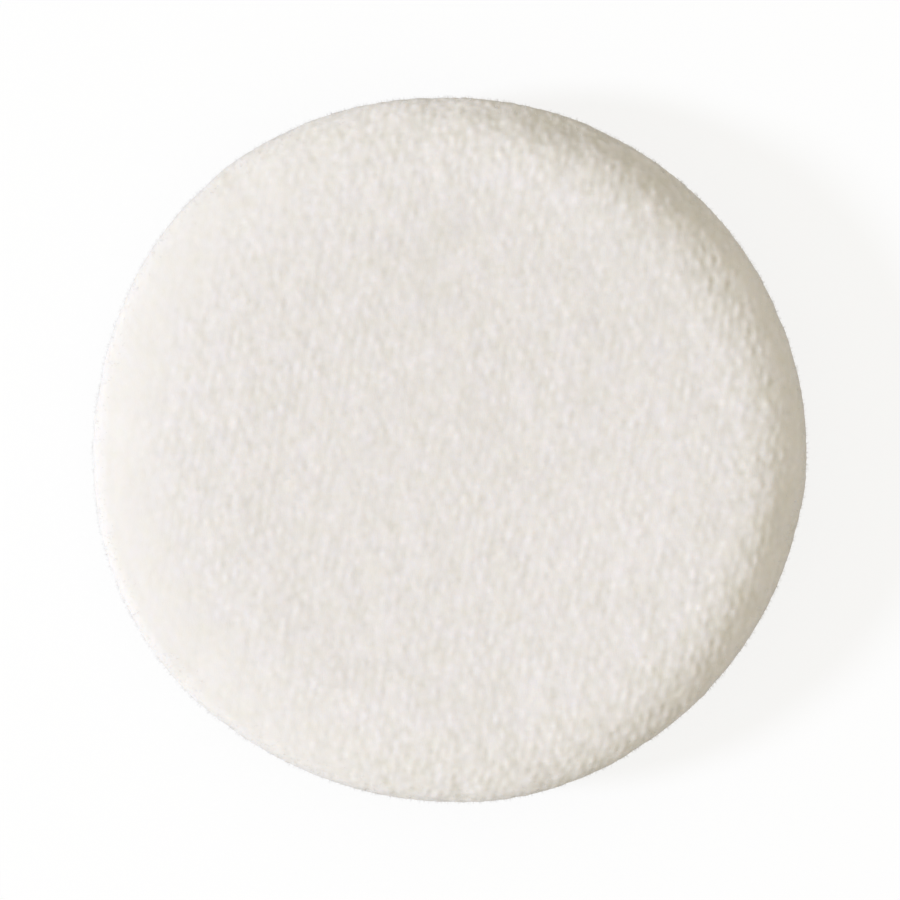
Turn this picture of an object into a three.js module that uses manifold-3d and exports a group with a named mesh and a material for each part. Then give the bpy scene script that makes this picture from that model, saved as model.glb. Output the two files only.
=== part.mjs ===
// A round sewn powder puff: two velour covers turned over a foam disc, with a satin ribbon across the back.
// Millimetres, +Z up. The application face looks up and the ribbon side lies on the table at z = 0.
// Every piece is drawn about the seam, which is at z = 0 until the finished puff is lifted off the table.

import * as THREE from 'three';
import { mergeVertices } from 'three/addons/utils/BufferGeometryUtils.js';
import Module from 'manifold-3d';

const wasm = await Module();
wasm.setup();

// The stuffed puff
const PUFF_DIAMETER = 60;
const PUFF_THICKNESS = 10;
const FRONT_CROWN = 0.5;
const SHOULDER_RUN = 5.5;

// The velour covers and the edges that turn in at the seam
const VELOUR_THICKNESS = 1.2;
const FOLD_OPENING = 0.15;
const SEAM_ALLOWANCE = 3;
const SEAM_GAP = 0.3;

// The finger ribbon
const RIBBON_WIDTH = 18;
const RIBBON_THICKNESS = 0.3;

// The sewing
const THREAD_DIAMETER = 0.35;
const THREAD_SLACK = 0.3;
const NEEDLE_CLEARANCE = 0.2;
const STITCH_LENGTH = 4;
const STITCH_INSET = 0.6;
const TURNING_GAP = 26;
const SLIP_DEPTH = 0.35;
const SLIP_REACH = 0.9;

// The gap that neighbouring pieces keep
const CLEARANCE = 0.3;

// How finely curves are drawn
const ROUND_SEGMENTS = 40;
const FACE_STEPS = 2;
const SHOULDER_STEPS = 6;
const FOLD_STEPS = 3;
const THREAD_SIDES = 5;
const STEPS_PER_STITCH = 8;
const LOOP_ROUNDNESS = 0.35;
const MERGE_DISTANCE = 1e-4;

const VELOUR_COLOUR = 0xe6e1dc;
const FOAM_COLOUR = 0xf3eee0;
const RIBBON_COLOUR = 0xf1ece4;
const THREAD_COLOUR = 0xeee8df;

const radius = PUFF_DIAMETER / 2;
const halfThickness = PUFF_THICKNESS / 2;
const foldRadius = VELOUR_THICKNESS + FOLD_OPENING;
const foldHeight = SEAM_GAP / 2 + foldRadius;
const foldLine = radius - foldRadius;
const rawEdge = foldLine - SEAM_ALLOWANCE;
const seamLine = foldLine - STITCH_INSET;
const threadRadius = THREAD_DIAMETER / 2;
const seamHeight = halfThickness + CLEARANCE + RIBBON_THICKNESS;

// The overcast thread stands this far above and below the seam, and this far inside the raw edges
const overcastHeight = SEAM_GAP / 2 + VELOUR_THICKNESS + THREAD_SLACK + threadRadius;
const overcastFarSide = rawEdge - THREAD_SLACK - threadRadius;

// Points from the middle of a face out to the rim, at a depth below the velour's surface.
// The face is flat or crowns gently, then its height dies away along a quarter ellipse.
function faceLine(depth, crown = 0) {
  const rim = radius - depth;
  const run = SHOULDER_RUN - depth;
  const rise = (r) => halfThickness - depth - foldHeight - crown * (r / rim) ** 2;
  const points = [];
  for (let i = 0; i < FACE_STEPS; i++) {
    const r = ((rim - run) * i) / FACE_STEPS;
    points.push(new THREE.Vector2(r, foldHeight + rise(r)));
  }
  for (let i = 0; i <= SHOULDER_STEPS; i++) {
    const turn = ((Math.PI / 2) * i) / SHOULDER_STEPS;
    const r = rim - run * (1 - Math.sin(turn));
    points.push(new THREE.Vector2(r, foldHeight + rise(r) * Math.cos(turn)));
  }
  return points;
}

// The turn from the rim in to the seam, at a depth below the velour's surface.
function foldArc(depth) {
  const bend = foldRadius - depth;
  return new THREE.EllipseCurve(foldLine, foldHeight, bend, bend, 0, -Math.PI / 2, true).getPoints(FOLD_STEPS);
}

// The section of a layer between two depths: down its inner side, round its raw edge and back up its outer side.
function layerSection(innerDepth, outerDepth, crown, edge = rawEdge) {
  const inner = [...faceLine(innerDepth, crown), ...foldArc(innerDepth).slice(1)];
  const outer = [...faceLine(outerDepth, crown), ...foldArc(outerDepth).slice(1)];
  const raw = (depth) => new THREE.Vector2(edge, SEAM_GAP / 2 + depth);
  return [...inner, raw(innerDepth), raw(outerDepth), ...outer.reverse()];
}

// A section turned over to the back of the puff, still running the same way round.
function toBack(section) {
  return section.map((p) => new THREE.Vector2(p.x, -p.y)).reverse();
}

function revolve(section) {
  return new THREE.LatheGeometry(section, ROUND_SEGMENTS).rotateX(Math.PI / 2);
}

// A closed solid from a geometry, with shared corners merged and collapsed triangles dropped.
function toSolid(geometry) {
  const bare = geometry.clone();
  bare.deleteAttribute('normal');
  bare.deleteAttribute('uv');
  const merged = mergeVertices(bare, MERGE_DISTANCE);
  const corners = merged.index.array;
  const kept = [];
  for (let i = 0; i < corners.length; i += 3) {
    const [a, b, c] = corners.slice(i, i + 3);
    if (a !== b && b !== c && c !== a) kept.push(a, b, c);
  }
  const vertProperties = new Float32Array(merged.attributes.position.array);
  return new wasm.Manifold(new wasm.Mesh({ numProp: 3, vertProperties, triVerts: new Uint32Array(kept) }));
}

function toGeometry(solid) {
  const { vertProperties, triVerts } = solid.getMesh();
  const geometry = new THREE.BufferGeometry();
  geometry.setAttribute('position', new THREE.BufferAttribute(vertProperties, 3));
  geometry.setIndex(new THREE.BufferAttribute(triVerts, 1));
  geometry.computeVertexNormals();
  return geometry;
}

// A run of stitches: loops round the seam that advance along it. Each loop spans from one radius to another,
// and the same height above and below the seam. A loop stands still where it passes the near radius, so that
// it goes straight through its needle hole, and it moves on along the seam where it passes the far one.
class StitchPath extends THREE.Curve {
  constructor({ near, far, height, from, to }) {
    super();
    this.middle = (near + far) / 2;
    this.reach = (near - far) / 2;
    this.height = height;
    this.from = from;
    this.sweep = to - from;
    this.stitches = Math.round((this.sweep * seamLine) / STITCH_LENGTH);
    this.steps = this.stitches * STEPS_PER_STITCH;
  }

  getPoint(t, target = new THREE.Vector3()) {
    const squared = (x) => Math.sign(x) * Math.abs(x) ** LOOP_ROUNDNESS;
    const turn = 2 * Math.PI * this.stitches * t;
    const bearing = this.from + this.sweep * (t + Math.sin(turn) / (2 * Math.PI * this.stitches));
    const r = this.middle - this.reach * squared(Math.cos(turn));
    return target.set(r * Math.cos(bearing), r * Math.sin(bearing), -this.height * squared(Math.sin(turn)));
  }

  // Steps are spaced evenly by turn and not by length, so each loop has the same corners
  getUtoTmapping(u) {
    return u;
  }

  needleBearings() {
    return Array.from({ length: this.stitches }, (_, k) => this.from + (this.sweep * (k + 0.5)) / this.stitches);
  }
}

// One unbroken thread along a run of stitches, or the tunnel round it when it is drawn fatter.
function threadAlong(path, sectionRadius) {
  const section = new THREE.Shape();
  for (let i = 0; i < THREAD_SIDES; i++) {
    const turn = (2 * Math.PI * i) / THREAD_SIDES;
    const corner = [sectionRadius * Math.cos(turn), sectionRadius * Math.sin(turn)];
    if (i === 0) section.moveTo(...corner);
    else section.lineTo(...corner);
  }
  return new THREE.ExtrudeGeometry(section, { extrudePath: path, steps: path.steps, bevelEnabled: false });
}

// The least gap between a thread and its own next turns.
function leastGap(path) {
  const points = path.getSpacedPoints(path.steps);
  let least = Infinity;
  for (let i = 0; i < points.length; i++) {
    for (let j = i + STEPS_PER_STITCH; j < points.length; j++) {
      least = Math.min(least, points[i].distanceTo(points[j]) - THREAD_DIAMETER);
    }
  }
  return least;
}

// The machine seam runs from one end of the turning gap round to the other. The gap is slip-stitched by hand.
const gapHalfAngle = TURNING_GAP / 2 / seamLine;
const gapMiddle = -Math.PI / 2;
const seamPath = new StitchPath({
  near: seamLine,
  far: overcastFarSide,
  height: overcastHeight,
  from: gapMiddle + gapHalfAngle,
  to: gapMiddle + 2 * Math.PI - gapHalfAngle,
});
const closingPath = new StitchPath({
  near: seamLine,
  far: radius - SLIP_DEPTH,
  height: SLIP_REACH,
  from: gapMiddle - gapHalfAngle,
  to: gapMiddle + gapHalfAngle,
});
console.log(`least gap in the seam thread ${leastGap(seamPath).toFixed(2)} mm`);
console.log(`least gap in the closing thread ${leastGap(closingPath).toFixed(2)} mm`);

// The needle's holes: one straight through the turned edges at each machine stitch, and the slip stitches' tunnels.
const holeWidth = THREAD_DIAMETER + 2 * NEEDLE_CLEARANCE;
const needleHoles = seamPath.needleBearings().reduce((holes, bearing) => {
  const hole = new THREE.BoxGeometry(holeWidth, holeWidth, 2 * overcastHeight);
  return holes.add(toSolid(hole.translate(seamLine, 0, 0).rotateZ(bearing)));
}, toSolid(threadAlong(closingPath, holeWidth / 2)));

// A band across the puff, cut from a layer that lies over the back cover and turns in at the seam with it.
function bandOverBack(innerDepth, outerDepth, width, edge) {
  const layer = toSolid(revolve(toBack(layerSection(innerDepth, outerDepth, 0, edge))));
  const strip = toSolid(new THREE.BoxGeometry(2 * PUFF_DIAMETER, width, 2 * PUFF_DIAMETER));
  return layer.intersect(strip);
}

// The ribbon's ends push the front cover's turned edge up where they enter the seam.
const ribbonOuterDepth = -(CLEARANCE + RIBBON_THICKNESS);
const ribbonBand = bandOverBack(-CLEARANCE, ribbonOuterDepth, RIBBON_WIDTH);
const pocketWidth = RIBBON_WIDTH + 2 * CLEARANCE;
const ribbonPocket = bandOverBack(0, ribbonOuterDepth - CLEARANCE, pocketWidth, rawEdge - CLEARANCE);

const frontBlank = toSolid(revolve(layerSection(VELOUR_THICKNESS, 0, FRONT_CROWN)));
const backBlank = toSolid(revolve(toBack(layerSection(VELOUR_THICKNESS, 0))));

// The foam fills the covers, and the sewn edges bite a groove into its rim.
const foamDepth = VELOUR_THICKNESS + CLEARANCE;
const foamBlank = toSolid(revolve([...toBack(faceLine(foamDepth)).reverse(),
  ...faceLine(foamDepth, FRONT_CROWN).reverse()]));
const grooveHeight = overcastHeight + threadRadius + CLEARANCE;
const grooveFloor = overcastFarSide - threadRadius - CLEARANCE;
const groove = toSolid(revolve([
  new THREE.Vector2(grooveFloor, -grooveHeight),
  new THREE.Vector2(PUFF_DIAMETER, -grooveHeight),
  new THREE.Vector2(PUFF_DIAMETER, grooveHeight),
  new THREE.Vector2(grooveFloor, grooveHeight),
  new THREE.Vector2(grooveFloor, -grooveHeight),
]));

const velour = new THREE.MeshStandardMaterial({ color: VELOUR_COLOUR, roughness: 0.95, metalness: 0 });
const foam = new THREE.MeshStandardMaterial({ color: FOAM_COLOUR, roughness: 0.9, metalness: 0 });
const satin = new THREE.MeshStandardMaterial({ color: RIBBON_COLOUR, roughness: 0.4, metalness: 0 });
const thread = new THREE.MeshStandardMaterial({ color: THREAD_COLOUR, roughness: 0.7, metalness: 0 });

const sewnPuff = new THREE.Group();
sewnPuff.position.z = seamHeight;

function addPiece(name, geometry, material) {
  const mesh = new THREE.Mesh(geometry, material);
  mesh.name = name;
  sewnPuff.add(mesh);
}

addPiece('front_cover', toGeometry(frontBlank.subtract(ribbonPocket).subtract(needleHoles)), velour);
addPiece('back_cover', toGeometry(backBlank.subtract(needleHoles)), velour);
addPiece('foam_core', toGeometry(foamBlank.subtract(groove)), foam);
addPiece('finger_ribbon', toGeometry(ribbonBand.subtract(needleHoles)), satin);
addPiece('seam_thread', toGeometry(toSolid(threadAlong(seamPath, threadRadius))), thread);
addPiece('closing_thread', toGeometry(toSolid(threadAlong(closingPath, threadRadius))), thread);

const powderPuff = new THREE.Group();
powderPuff.add(sewnPuff);

export default powderPuff;
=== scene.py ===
"""Dress a sewn powder puff: velour over a foam pad, a satin finger ribbon and the thread that closes it.

Metres, +Z up. The cloth is cut flat, as a sewer would cut it, and then laid over the puff's section.
"""

import math

import bmesh
import bpy
import numpy as np
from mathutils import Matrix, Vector


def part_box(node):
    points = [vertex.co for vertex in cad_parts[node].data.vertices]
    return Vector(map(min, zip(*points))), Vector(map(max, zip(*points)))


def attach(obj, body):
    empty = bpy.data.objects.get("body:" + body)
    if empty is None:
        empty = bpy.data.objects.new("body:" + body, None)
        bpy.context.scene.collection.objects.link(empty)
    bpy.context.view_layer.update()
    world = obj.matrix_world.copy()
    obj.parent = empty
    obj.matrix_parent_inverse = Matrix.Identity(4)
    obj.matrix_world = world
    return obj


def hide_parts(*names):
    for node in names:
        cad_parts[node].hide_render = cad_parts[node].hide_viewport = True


bl_info = {
    "name": "Powder Puff",
    "version": (1, 0, 0),
    "blender": (4, 5, 0),
    "location": "3D View > Sidebar > Puff",
    "description": "Velour, foam, ribbon, thread and stage for a round sewn powder puff",
    "category": "Object",
}

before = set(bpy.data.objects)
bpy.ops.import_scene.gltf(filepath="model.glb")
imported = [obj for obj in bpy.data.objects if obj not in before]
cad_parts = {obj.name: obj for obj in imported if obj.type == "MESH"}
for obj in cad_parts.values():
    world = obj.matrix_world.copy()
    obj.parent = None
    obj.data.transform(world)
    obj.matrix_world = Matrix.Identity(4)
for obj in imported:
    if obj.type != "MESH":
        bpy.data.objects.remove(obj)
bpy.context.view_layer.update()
FRONT_LOW, FRONT_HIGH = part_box("front_cover")
BACK_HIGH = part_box("back_cover")[1]
RIBBON_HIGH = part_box("finger_ribbon")[1]
PUFF_RADIUS = FRONT_HIGH.x
SEAM_HEIGHT = (FRONT_LOW.z + BACK_HIGH.z) / 2
HALF_THICKNESS = FRONT_HIGH.z - SEAM_HEIGHT
MM = 0.001

# Way that the pile was brushed, the patches that this leaves, each with its size and height in
# millimetres, and how far the patches are drawn out
BRUSHING = math.radians(-67)
PATCHES = ((1.2, 0.007), (2.8, 0.027), (7.5, 0.05))
PATCH_STRETCH = 3.2

# How far tufts stand apart, and how strongly their painted light and shade show, facing the lamp, turned
# from it and where this stops, with what is added by the upper right shade and taken on the shaded edge
LIT_SIDE_NAP = 0.25
SHADED_SIDE_NAP = 1.6
PLAIN_NAP = 1.3
UPPER_SHADE_NAP = 0.4
SHADED_EDGE_SHARE = 0.5

# Side of the rim, turned from the lamp, where the tufts stand apart and their painted light and shade
# show most, and the place by the shade at the upper right where most is added
NAP_BEARING = math.radians(5)
UPPER_SHADE_BEARING = math.radians(65)
UPPER_SHADE_SPREAD = math.radians(30)

# How directly a place faces that side where the tufts start and end standing apart, and where the edge
# in shade starts and ends being smoothed
SHADED_SIDE_FACING = (-0.95, 0.1)
SHADED_EDGE_FACING = (0.6, 0.95)

# Radii between which the pile changes over the shoulder and between which its edge in shade is smoothed,
# and distances from the rim, along the cloth, between which this shaping stops
NAP_CHANGES = (21.5 * MM, 27.5 * MM)
SHADED_EDGE_RADII = (27 * MM, 28.8 * MM)
NAP_SHAPING_ENDS = (-1.2 * MM, 0.3 * MM)

# Distances from the end of the face between which a yellower tint is painted over the rim, standing in
# for the colour that its light and shade take
PAINTED_RIM_TINT_SPAN = (-2 * MM, 3 * MM)

# Lightness of the pile, from 0 in the furrows to 1 at the tips, which paints shade between the tufts and
# light on them: its middle, the tuft height that goes with it, and how strongly tufts and strays change it
MIDDLE_LIGHTNESS = 0.55
MIDDLE_TUFT = 0.6
TUFT_CONTRAST = 0.48
STRAY_CONTRAST = 0.62

# Spacing of the stray tufts as a share of the tufts' own, cells after which the tufts' small
# differences repeat, and how far each cover's lattice and patterns are moved so that the covers differ
STRAY_SPACING = 0.48
TUFT_REPEAT = (97, 89)
LATTICE_SHIFT = (3.1 * MM, 1.7 * MM)
PATTERN_STEP = 40.0

# Painted light and shade on the front: lighter and darker patches on the face where its bumps and creases
# would be lit and shaded, and along the rim, lighter at the top and darker at the upper and lower right,
# where its edge is lit and in shade. Each has its place, the bearing of its length in degrees, half its
# length and half its width in millimetres, and how much lighter it is painted
PAINTED_LIGHT_AND_SHADE = (
    (-2.5, 16, 63, 6.5, 3.0, -0.2),
    (11.5, -7.5, 15, 8.0, 5.0, 0.15),
    (2, -17, -58, 3.0, 0.6, 0.22),
    (7, -19, -56, 4.0, 0.6, 0.22),
    (-5.5, -22, 0, 4.0, 2.5, 0.12),
    (-1, 29.2, 0, 9.0, 0.9, 0.4),
    (11, 27, -22, 5.0, 1.2, -0.4),
    (20, 20.5, -45, 4.0, 1.0, -0.3),
    (15, 16, -55, 7.0, 3.5, -0.22),
    (10, -24.5, 22, 5.0, 1.5, 0.22),
    (11, -27.2, 22, 4.5, 0.8, -0.4),
)

# Uneven stuffing under the front. Each place has a bearing and a width in degrees, then in
# millimetres a distance from the middle, how far it spreads inwards and outwards from there, and how
# far it rises
STUFFING = (
    (63, 23, 26.5, 4.0, 2.5, 1.1),
    (-33, 37, 26.5, 12.0, 2.0, 0.4),
    (88, 36, 24.0, 8.0, 3.0, 0.4),
    (-125, 80, 23.5, 12.0, 7.0, -0.5),
)
STUFFING_FADES = 28 * MM

# Waves by which the puff is out of round: their number, their size in millimetres and a peak's
# bearing in degrees
OUT_OF_ROUND = ((2, 0.17, -9), (3, 0.07, 1), (4, 0.09, 31), (5, 0.10, -9))

# Points on a cover's section: on its face, on each quarter turn, on the part turned in, and in all
FACE_POINTS = 200
TURN_POINTS = 400
ALLOWANCE_POINTS = 100
SECTION_POINTS = 3000

# Coarse cover that is stuffed by simulation: its rings and bearings, its scale, the steps it takes,
# its roughness at the start, the strip held behind the fold, and the deepest pucker that is kept
BLANK_RINGS = 40
BLANK_BEARINGS = 132
BLANK_SCALE = 20
BLANK_STEPS = 20
BLANK_ROUGHNESS = 0.01 * MM
BLANK_HOLD = 0.05 * MM
PUCKER_LIMIT = 0.3 * MM

# Loose fibres: tries for each one that is kept, how far inside the fold they end, the shortest share
# of their length, how far they swerve, where they bend, how deep they are rooted, and their room over
# the table
FIBRE_TRIES = 8
FIBRE_INSET = 0.3 * MM
FIBRE_SHORTEST = 0.4
FIBRE_SWERVE = 0.35
FIBRE_BEND = (0.35, 0.55)
FIBRE_TAPER = (1.0, 0.7, 0.15)
FIBRE_ROOT = 0.05 * MM
FIBRE_ROOM = 0.1 * MM

# Distances within which points are one: on the finest pieces and on the others
FIBRE_MERGE = 0.0002 * MM
MERGE = 0.001 * MM

# Seeds, counted from the pile's own
PUCKER_SEED = 10
FIBRE_SEED = 20

# How full the back is, how close the ribbon presses it, how deep a dent leaves no room for fibres, and
# where the dent runs out sideways
BACK_FULLNESS = 0.2 * MM
RIBBON_CLEARANCE = 0.06 * MM
BARE_SHARE = 0.02
DENT_EDGE = (RIBBON_HIGH.y - 0.1 * MM, RIBBON_HIGH.y + 0.5 * MM)

# Foam pad: half the height of the groove that the sewn edges bite into its rim, the room behind them,
# how much of its radius is nearly flat, how far that sinks to its edge, the lip over the groove, and
# how far the shoulder turns
FOAM_GROOVE_HALF = 2.0 * MM
FOAM_GROOVE_ROOM = 1.35 * MM
FOAM_FLAT_SHARE = 0.55
FOAM_EDGE_DROP = 0.1 * MM
FOAM_LIP = 0.2 * MM
FOAM_LIP_INSET = 0.4 * MM
FOAM_TURN = math.radians(80)
FOAM_TURN_POINTS = 9
FOAM_SIDES = 160

# Ribbon: how far its ends stop short of the raw edge, the height of its faint waves, the height and
# the width of its gathers at the rim, and how much thicker the selvedges are
RIBBON_TRIM = 0.4 * MM
RIBBON_WAVE = 0.015 * MM
RIBBON_WAVE_RUN = 2.3 * MM
RIBBON_WAVE_SWAY = 3
RIBBON_SWAY_RUN = 5 * MM
RIBBON_GATHER = 0.16 * MM
RIBBON_PLEAT = 1.5 * MM
PLEAT_STRETCH = 9
PLEAT_SEED = 31
SELVEDGE_SHARE = 0.25
RIBBON_GRID = (360, 60)

# Where the ribbon gathers: distances past the edge of the face between which that starts, how far
# short of the rim and of the fold it fades and ends, and distances from the ribbon's sides between
# which it turns plain. The last pair are distances from the sides between which the selvedge starts
GATHER_STARTS = (0.2 * MM, 3.0 * MM)
GATHER_SHORT = 0.3 * MM
PLAIN_EDGE = (1.6 * MM, 0.3 * MM)
SELVEDGE_EDGE = (0.7 * MM, 0.5 * MM)

# How far the ribbon stands off the back cover's line: a share of the ribbon's overhang in the solids
# on the face, as far as a share of the face's radius, and then how far it is drawn in on the shoulder
# and at the rim
RIBBON_PROUD = 0.75 * (RIBBON_HIGH.x - PUFF_RADIUS)
PROUD_SHARE = 0.9
SHOULDER_DRAW = 0.02 * MM
RIM_DRAW = 0.15 * MM

# Sewing: how far inside the fold the needle goes in, how far past the raw edges the thread winds, how
# deep inside the rim and how high the slip stitches reach, the points on each stitch and how sharply
# it turns
NEEDLE_INSET = 0.6 * MM
OVERCAST_REACH = 0.475 * MM
SLIP_DEPTH = 0.65 * MM
SLIP_HEIGHT = 0.9 * MM
STITCH_POINTS = 16
STITCH_CORNERING = 0.35

# Stage: the height over the seam at which the picture's width is measured, and the floor's corners
FRAMED_HEIGHT = 1.5 * MM
FLOOR_SIDES = 96
WHITE = (1, 1, 1, 1)

# Size of the table behind the soft noise, and a length that only keeps a division from failing
NOISE_CELLS = 64
TINY = 1e-9


class PuffSizes(bpy.types.PropertyGroup):
    """The puff's section and its sewing."""

    crown: bpy.props.FloatProperty(
        name="Crown", description="How far the middle of the front stands over its edge",
        default=0.1 * MM, unit="LENGTH")
    shoulder_run: bpy.props.FloatProperty(
        name="Shoulder run", description="Width of the rounded rim, seen from the front",
        default=5.5 * MM, unit="LENGTH")
    soft_run: bpy.props.FloatProperty(
        name="Soft shoulder run", description="How much further the shoulder runs in on the softer side",
        default=7.0 * MM, unit="LENGTH")
    soft_bearing: bpy.props.FloatProperty(
        name="Softer side", description="Bearing of the softer side",
        default=math.radians(160), subtype="ANGLE")
    velour_thickness: bpy.props.FloatProperty(
        name="Velour thickness", description="Backing and pile together", default=1.2 * MM, unit="LENGTH")
    fold_opening: bpy.props.FloatProperty(
        name="Fold opening", description="Inner radius of the turned edge",
        default=0.15 * MM, unit="LENGTH")
    seam_allowance: bpy.props.FloatProperty(
        name="Seam allowance", description="Cloth turned in behind the seam", default=3 * MM, unit="LENGTH")
    seam_gap: bpy.props.FloatProperty(
        name="Seam gap", description="Room between the two turned edges", default=0.3 * MM, unit="LENGTH")
    seam_closing: bpy.props.FloatProperty(
        name="Seam closing", description="How far the soft folds swell into the seam gap",
        default=0.14 * MM, unit="LENGTH")
    foam_clearance: bpy.props.FloatProperty(
        name="Foam clearance", description="Room between the foam and the cloth",
        default=0.3 * MM, unit="LENGTH")
    ribbon_thickness: bpy.props.FloatProperty(
        name="Ribbon thickness", description="Thickness of the satin", default=0.2 * MM, unit="LENGTH")
    thread_diameter: bpy.props.FloatProperty(
        name="Thread diameter", description="Diameter of the sewing thread",
        default=0.35 * MM, unit="LENGTH")
    stitch_length: bpy.props.FloatProperty(
        name="Stitch length", description="Advance of each stitch along the seam",
        default=4 * MM, unit="LENGTH")
    pucker_share: bpy.props.FloatProperty(
        name="Pucker share", description="Share of the simulated gathers that the soft velour keeps",
        default=0.25, subtype="FACTOR")
    turning_gap: bpy.props.FloatProperty(
        name="Turning gap", description="Part of the seam that is closed by hand",
        default=26 * MM, unit="LENGTH")


class VelourPile(bpy.types.PropertyGroup):
    """The tufts of the velour, which stand in rows on the knitted backing."""

    row_step: bpy.props.FloatVectorProperty(
        name="Row step", description="Step from a tuft to its neighbour across the ribs",
        size=2, default=(0.620 * MM, -1.047 * MM), unit="LENGTH")
    rib_step: bpy.props.FloatVectorProperty(
        name="Rib step", description="Step from a tuft to its neighbour along the rib",
        size=2, default=(0.266 * MM, 1.564 * MM), unit="LENGTH")
    tuft_width: bpy.props.FloatProperty(
        name="Tuft width", description="Spread of a tuft across the ribs", default=0.2 * MM, unit="LENGTH")
    tuft_length: bpy.props.FloatProperty(
        name="Tuft length", description="Spread of a tuft along the ribs", default=0.45 * MM, unit="LENGTH")
    tuft_height: bpy.props.FloatProperty(
        name="Tuft height", description="How far tufts stand over the furrows",
        default=0.037 * MM, unit="LENGTH")
    tuft_lean: bpy.props.FloatProperty(
        name="Tuft lean", description="How far tufts lean to either side",
        default=math.radians(6), subtype="ANGLE")
    tuft_crowding: bpy.props.FloatProperty(
        name="Tuft crowding", description="How far neighbouring tufts close the furrows between them",
        default=2.0)
    stray_width: bpy.props.FloatProperty(
        name="Stray width", description="Spread of the fine stray tufts", default=0.19 * MM, unit="LENGTH")
    stray_height: bpy.props.FloatProperty(
        name="Stray height", description="How far fine stray tufts stand out",
        default=0.037 * MM, unit="LENGTH")
    unevenness: bpy.props.FloatProperty(
        name="Unevenness", description="How strongly the pile is brushed into patches",
        default=1.0, subtype="FACTOR")
    across_spacing: bpy.props.FloatProperty(
        name="Spacing across", description="Mesh spacing across the ribs", default=0.17 * MM, unit="LENGTH")
    along_spacing: bpy.props.FloatProperty(
        name="Spacing along", description="Mesh spacing along the ribs", default=0.24 * MM, unit="LENGTH")
    fibre_length: bpy.props.FloatProperty(
        name="Fibre length", description="Length of the loose fibres that stand out of the pile",
        default=0.3 * MM, unit="LENGTH")
    fibre_diameter: bpy.props.FloatProperty(
        name="Fibre diameter", description="Diameter of a loose fibre at its root",
        default=0.024 * MM, unit="LENGTH")
    fibre_count: bpy.props.IntProperty(
        name="Fibres", description="Loose fibres on each cover", default=4500)
    seed: bpy.props.IntProperty(name="Seed", description="Seed of the tufts' small differences", default=7)


class PuffColours(bpy.types.PropertyGroup):
    """The colours of the puff's materials."""

    pile_tip: bpy.props.FloatVectorProperty(
        name="Pile tips", description="Velour where the tufts catch the light",
        size=3, subtype="COLOR", default=(0.888, 0.850, 0.861))
    # Darker colour between the tufts: painted shade in the furrows, where the tufts would shade each other
    pile_furrow_shade: bpy.props.FloatVectorProperty(
        name="Pile furrows", description="Velour between the tufts",
        size=3, subtype="COLOR", default=(0.760, 0.728, 0.704))
    pile_unbleached: bpy.props.FloatVectorProperty(
        name="Unbleached pile", description="Tint of the cotton where it is bleached least",
        size=3, subtype="COLOR", default=(1.0, 1.0, 0.95))
    # Painted tint over the rim: yellower, standing in for the colour that light and shade give the rim
    pile_painted_rim_tint: bpy.props.FloatVectorProperty(
        name="Pile sides", description="Tint of the tufts' sides, which show where the rim parts the pile",
        size=3, subtype="COLOR", default=(1.0, 1.0, 0.98))
    foam: bpy.props.FloatVectorProperty(
        name="Foam", description="Foam pad", size=3, subtype="COLOR", default=(0.89, 0.85, 0.74))
    ribbon: bpy.props.FloatVectorProperty(
        name="Ribbon", description="Satin ribbon", size=3, subtype="COLOR", default=(0.86, 0.815, 0.75))
    thread: bpy.props.FloatVectorProperty(
        name="Thread", description="Sewing thread", size=3, subtype="COLOR", default=(0.86, 0.81, 0.74))


class PuffStudio(bpy.types.PropertyGroup):
    """The floor, the light and the camera."""

    key_strength: bpy.props.FloatProperty(
        name="Key strength", description="Light that the key lamp gives a surface facing it", default=0.645)
    key_colour: bpy.props.FloatVectorProperty(
        name="Key colour", description="Colour of the key lamp", size=3, subtype="COLOR",
        default=(0.915, 1.0, 1.2))
    key_elevation: bpy.props.FloatProperty(
        name="Key elevation", description="Height of the key lamp over the table",
        default=math.radians(32), subtype="ANGLE")
    key_bearing: bpy.props.FloatProperty(
        name="Key bearing", description="Bearing of the key lamp, from +X",
        default=math.radians(186), subtype="ANGLE")
    key_distance: bpy.props.FloatProperty(
        name="Key distance", description="Distance of the key lamp", default=2.5, unit="LENGTH")
    key_size: bpy.props.FloatProperty(
        name="Key size", description="Width of the key lamp", default=0.5, unit="LENGTH")
    ambient_strength: bpy.props.FloatProperty(
        name="Ambient strength", description="Light from all round", default=0.63)
    ambient_colour: bpy.props.FloatVectorProperty(
        name="Ambient colour", description="Colour of the light from all round", size=3, subtype="COLOR",
        default=(1.052, 1.0, 0.865))
    floor_radius: bpy.props.FloatProperty(
        name="Floor radius", description="Radius of the pale floor", default=1.5, unit="LENGTH")
    floor_colour: bpy.props.FloatVectorProperty(
        name="Floor colour", description="Colour of the pale floor", size=3, subtype="COLOR",
        default=(0.42, 0.42, 0.42))
    shadow_depth: bpy.props.FloatProperty(
        name="Shadow depth", description="Share of the floor's white that the puff's shadow can take",
        default=0.2, subtype="FACTOR")
    lit_gap: bpy.props.FloatProperty(
        name="Lit gap", description="Gap under the puff in which the floor lets light through to its back",
        default=3 * MM, unit="LENGTH")
    lens: bpy.props.FloatProperty(name="Lens", description="Focal length in millimetres", default=130)
    frame_width: bpy.props.FloatProperty(
        name="Frame width", description="Width of the picture at the puff's rim",
        default=76.06 * MM, unit="LENGTH")
    camera_offset: bpy.props.FloatVectorProperty(
        name="Camera offset", description="Place of the camera over the puff", size=2,
        default=(0.15 * MM, -0.10 * MM), unit="LENGTH")


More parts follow.
